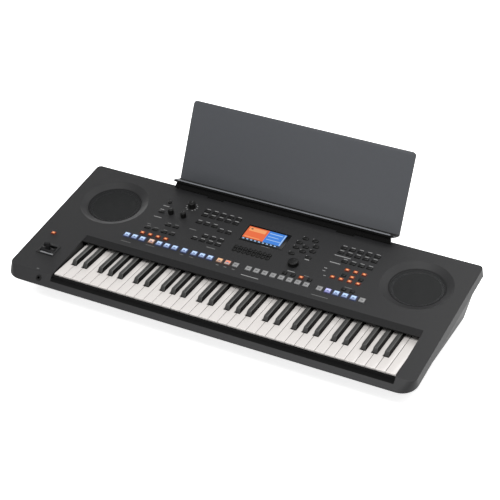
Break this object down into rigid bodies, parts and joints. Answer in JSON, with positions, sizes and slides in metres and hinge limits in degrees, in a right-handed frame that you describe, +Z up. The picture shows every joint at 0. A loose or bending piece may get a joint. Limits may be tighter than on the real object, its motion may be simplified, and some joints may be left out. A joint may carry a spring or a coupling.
{
  "type": "arranger keyboard",
  "caption": "Portable arranger keyboard with piano-style keys, sloping button panel, display, joystick, round speakers and a plug-in music rest.",
  "frame": {"origin": "middle of the bounding box, on the level of the feet's undersides", "axes": "+X to the player's right along the keys, +Y from the player to the rear, +Z up"},
  "size_m": [1.017, 0.534, 0.3249],
  "materials": {
    "case_plastic": "fine moulded texture, charcoal",
    "keybed_plastic": "plain moulded",
    "felt": "pressed felt",
    "circuit_board": "solder-masked glass laminate",
    "dome_rubber": "moulded",
    "display_lens": "clear window, lit from behind",
    "grille_mesh": "perforated, painted dark grey",
    "pressed_steel": "plated",
    "trim_plastic": "black moulded",
    "lever_plastic": "grey moulded",
    "foot_rubber": "moulded",
    "rest_plastic": "smooth dark grey",
    "button_dark": "satin",
    "button_blue": "translucent, lit from behind",
    "button_grey": "translucent, unlit",
    "button_orange": "translucent, lit from behind",
    "knob_plastic": "satin black",
    "white_key": "polished",
    "black_key": "satin"
  },
  "bodies": {
    "case": {"upper_case": "case_plastic", "lower_case": "case_plastic", "key_frame": "keybed_plastic", "key_stop_felt": "felt", "contact_board": "circuit_board", "contact_rubbers": "dome_rubber", "keypad_strips": "dome_rubber", "panel_board_left": "circuit_board", "panel_board_right": "circuit_board", "modulation_board": "circuit_board", "display_lens": "display_lens", "display_module": "keybed_plastic", "speaker_grille_left": "grille_mesh", "speaker_grille_right": "grille_mesh", "speaker_baskets": "pressed_steel", "speaker_cones": "dome_rubber", "speaker_magnets": "pressed_steel", "joystick_housing": "trim_plastic", "headphone_jack": "trim_plastic", "rear_jacks": "trim_plastic", "power_inlet": "trim_plastic", "usb_sockets": "pressed_steel", "main_board": "circuit_board", "power_board": "circuit_board", "feet": "foot_rubber"},
    "music_rest": {"music_rest": "rest_plastic"},
    "joystick_gimbal": {"joystick_gimbal": "trim_plastic"},
    "joystick_lever": {"joystick_lever": "lever_plastic"},
    "style_section_buttons": {"style_section_buttons": "button_blue"},
    "start_stop_buttons": {"start_stop_buttons": "button_grey"},
    "registration_buttons": {"registration_buttons": "button_grey"},
    "multi_pad_buttons": {"multi_pad_buttons": "button_blue"},
    "accompaniment_buttons": {"accompaniment_buttons": "button_orange"},
    "tempo_buttons": {"tempo_buttons": "button_dark"},
    "style_category_buttons": {"style_category_buttons": "button_dark"},
    "song_buttons": {"song_buttons": "button_dark"},
    "assign_buttons": {"assign_buttons": "button_dark"},
    "navigation_buttons": {"navigation_buttons": "button_dark"},
    "bank_buttons": {"bank_buttons": "button_dark"},
    "voice_category_buttons": {"voice_category_buttons": "button_dark"},
    "voice_effect_buttons": {"voice_effect_buttons": "button_orange"},
    "part_buttons": {"part_buttons": "button_orange"},
    "modulation_button": {"modulation_button": "button_orange"},
    "standby_button": {"standby_button": "button_dark"},
    "volume_knob": {"volume_knob": "knob_plastic"},
    "live_knob_left": {"live_knob_left": "knob_plastic"},
    "live_knob_right": {"live_knob_right": "knob_plastic"},
    "data_dial": {"data_dial": "knob_plastic"},
    "keys_c": {"keys_c": "white_key"},
    "keys_d": {"keys_d": "white_key"},
    "keys_e": {"keys_e": "white_key"},
    "keys_f": {"keys_f": "white_key"},
    "keys_g": {"keys_g": "white_key"},
    "keys_a": {"keys_a": "white_key"},
    "keys_b": {"keys_b": "white_key"},
    "keys_c_sharp": {"keys_c_sharp": "black_key"},
    "keys_d_sharp": {"keys_d_sharp": "black_key"},
    "keys_f_sharp": {"keys_f_sharp": "black_key"},
    "keys_g_sharp": {"keys_g_sharp": "black_key"},
    "keys_a_sharp": {"keys_a_sharp": "black_key"}
  },
  "joints": [
    {"name": "rest_lift", "type": "slide", "parent": "case", "child": "music_rest", "axis": [0, 0.3907, 0.9205], "range_m": [0, 0.06]},
    {"name": "stick_rock", "type": "hinge", "parent": "case", "child": "joystick_gimbal", "pos_m": [-0.446, -0.17075, 0.08611], "axis": [1, 0, 0], "range_deg": [-18, 18], "stiffness_Nm_per_rad": 0.3},
    {"name": "stick_sway", "type": "hinge", "parent": "joystick_gimbal", "child": "joystick_lever", "pos_m": [-0.446, -0.17075, 0.08611], "axis": [0, 0.9905, 0.1374], "range_deg": [-18, 18], "stiffness_Nm_per_rad": 0.3},
    {"name": "style_section_buttons_press", "type": "slide", "parent": "case", "child": "style_section_buttons", "axis": [0, 0.1374, -0.9905], "range_m": [0, 0.0008], "stiffness_N_per_m": 4400, "springref_m": -0.002},
    {"name": "start_stop_buttons_press", "type": "slide", "parent": "case", "child": "start_stop_buttons", "axis": [0, 0.1374, -0.9905], "range_m": [0, 0.0008], "stiffness_N_per_m": 1200, "springref_m": -0.002},
    {"name": "registration_buttons_press", "type": "slide", "parent": "case", "child": "registration_buttons", "axis": [0, 0.1374, -0.9905], "range_m": [0, 0.0008], "stiffness_N_per_m": 3200, "springref_m": -0.002},
    {"name": "multi_pad_buttons_press", "type": "slide", "parent": "case", "child": "multi_pad_buttons", "axis": [0, 0.1374, -0.9905], "range_m": [0, 0.0008], "stiffness_N_per_m": 2400, "springref_m": -0.002},
    {"name": "accompaniment_buttons_press", "type": "slide", "parent": "case", "child": "accompaniment_buttons", "axis": [0, 0.1374, -0.9905], "range_m": [0, 0.0008], "stiffness_N_per_m": 1600, "springref_m": -0.002},
    {"name": "tempo_buttons_press", "type": "slide", "parent": "case", "child": "tempo_buttons", "axis": [0, 0.1374, -0.9905], "range_m": [0, 0.0008], "stiffness_N_per_m": 2400, "springref_m": -0.002},
    {"name": "style_category_buttons_press", "type": "slide", "parent": "case", "child": "style_category_buttons", "axis": [0, 0.1374, -0.9905], "range_m": [0, 0.0008], "stiffness_N_per_m": 6000, "springref_m": -0.002},
    {"name": "song_buttons_press", "type": "slide", "parent": "case", "child": "song_buttons", "axis": [0, 0.1374, -0.9905], "range_m": [0, 0.0008], "stiffness_N_per_m": 2800, "springref_m": -0.002},
    {"name": "assign_buttons_press", "type": "slide", "parent": "case", "child": "assign_buttons", "axis": [0, 0.1374, -0.9905], "range_m": [0, 0.0008], "stiffness_N_per_m": 6400, "springref_m": -0.002},
    {"name": "navigation_buttons_press", "type": "slide", "parent": "case", "child": "navigation_buttons", "axis": [0, 0.1374, -0.9905], "range_m": [0, 0.0008], "stiffness_N_per_m": 4000, "springref_m": -0.002},
    {"name": "bank_buttons_press", "type": "slide", "parent": "case", "child": "bank_buttons", "axis": [0, 0.1374, -0.9905], "range_m": [0, 0.0008], "stiffness_N_per_m": 1600, "springref_m": -0.002},
    {"name": "voice_category_buttons_press", "type": "slide", "parent": "case", "child": "voice_category_buttons", "axis": [0, 0.1374, -0.9905], "range_m": [0, 0.0008], "stiffness_N_per_m": 5600, "springref_m": -0.002},
    {"name": "voice_effect_buttons_press", "type": "slide", "parent": "case", "child": "voice_effect_buttons", "axis": [0, 0.1374, -0.9905], "range_m": [0, 0.0008], "stiffness_N_per_m": 1200, "springref_m": -0.002},
    {"name": "part_buttons_press", "type": "slide", "parent": "case", "child": "part_buttons", "axis": [0, 0.1374, -0.9905], "range_m": [0, 0.0008], "stiffness_N_per_m": 3600, "springref_m": -0.002},
    {"name": "modulation_button_press", "type": "slide", "parent": "case", "child": "modulation_button", "axis": [0, 0.1374, -0.9905], "range_m": [0, 0.0008], "stiffness_N_per_m": 400, "springref_m": -0.002},
    {"name": "standby_button_press", "type": "slide", "parent": "case", "child": "standby_button", "axis": [0, 0.1374, -0.9905], "range_m": [0, 0.0008], "stiffness_N_per_m": 400, "springref_m": -0.002},
    {"name": "volume_knob_turn", "type": "hinge", "parent": "case", "child": "volume_knob", "pos_m": [-0.209, 0.09815, 0.13453], "axis": [0, -0.1374, 0.9905], "range_deg": [-150, 150]},
    {"name": "live_knob_left_turn", "type": "hinge", "parent": "case", "child": "live_knob_left", "pos_m": [-0.2436, 0.05695, 0.12881], "axis": [0, -0.1374, 0.9905], "range_deg": [-150, 150]},
    {"name": "live_knob_right_turn", "type": "hinge", "parent": "case", "child": "live_knob_right", "pos_m": [-0.21, 0.05695, 0.12881], "axis": [0, -0.1374, 0.9905], "range_deg": [-150, 150]},
    {"name": "data_dial_turn", "type": "hinge", "parent": "case", "child": "data_dial", "pos_m": [0.1064, -0.00011, 0.1209], "axis": [0, -0.1374, 0.9905], "continuous": true},
    {"name": "keys_c_press", "type": "hinge", "parent": "case", "child": "keys_c", "pos_m": [0.0365, -0.03108, 0.07606], "axis": [1, 0, 0], "range_deg": [0, 2.6], "stiffness_Nm_per_rad": 8, "springref_deg": -11.46},
    {"name": "keys_d_press", "type": "hinge", "parent": "case", "child": "keys_d", "pos_m": [0.0365, -0.03108, 0.07606], "axis": [1, 0, 0], "range_deg": [0, 2.6], "stiffness_Nm_per_rad": 8, "springref_deg": -11.46},
    {"name": "keys_e_press", "type": "hinge", "parent": "case", "child": "keys_e", "pos_m": [0.0365, -0.03108, 0.07606], "axis": [1, 0, 0], "range_deg": [0, 2.6], "stiffness_Nm_per_rad": 8, "springref_deg": -11.46},
    {"name": "keys_f_press", "type": "hinge", "parent": "case", "child": "keys_f", "pos_m": [0.0365, -0.03108, 0.07606], "axis": [1, 0, 0], "range_deg": [0, 2.6], "stiffness_Nm_per_rad": 8, "springref_deg": -11.46},
    {"name": "keys_g_press", "type": "hinge", "parent": "case", "child": "keys_g", "pos_m": [0.0365, -0.03108, 0.07606], "axis": [1, 0, 0], "range_deg": [0, 2.6], "stiffness_Nm_per_rad": 8, "springref_deg": -11.46},
    {"name": "keys_a_press", "type": "hinge", "parent": "case", "child": "keys_a", "pos_m": [0.0365, -0.03108, 0.07606], "axis": [1, 0, 0], "range_deg": [0, 2.6], "stiffness_Nm_per_rad": 8, "springref_deg": -11.46},
    {"name": "keys_b_press", "type": "hinge", "parent": "case", "child": "keys_b", "pos_m": [0.0365, -0.03108, 0.07606], "axis": [1, 0, 0], "range_deg": [0, 2.6], "stiffness_Nm_per_rad": 8, "springref_deg": -11.46},
    {"name": "keys_c_sharp_press", "type": "hinge", "parent": "case", "child": "keys_c_sharp", "pos_m": [0.0365, -0.03108, 0.07606], "axis": [1, 0, 0], "range_deg": [0, 2.6], "stiffness_Nm_per_rad": 8, "springref_deg": -11.46},
    {"name": "keys_d_sharp_press", "type": "hinge", "parent": "case", "child": "keys_d_sharp", "pos_m": [0.0365, -0.03108, 0.07606], "axis": [1, 0, 0], "range_deg": [0, 2.6], "stiffness_Nm_per_rad": 8, "springref_deg": -11.46},
    {"name": "keys_f_sharp_press", "type": "hinge", "parent": "case", "child": "keys_f_sharp", "pos_m": [0.0365, -0.03108, 0.07606], "axis": [1, 0, 0], "range_deg": [0, 2.6], "stiffness_Nm_per_rad": 8, "springref_deg": -11.46},
    {"name": "keys_g_sharp_press", "type": "hinge", "parent": "case", "child": "keys_g_sharp", "pos_m": [0.0365, -0.03108, 0.07606], "axis": [1, 0, 0], "range_deg": [0, 2.6], "stiffness_Nm_per_rad": 8, "springref_deg": -11.46},
    {"name": "keys_a_sharp_press", "type": "hinge", "parent": "case", "child": "keys_a_sharp", "pos_m": [0.0365, -0.03108, 0.07606], "axis": [1, 0, 0], "range_deg": [0, 2.6], "stiffness_Nm_per_rad": 8, "springref_deg": -11.46}
  ]
}
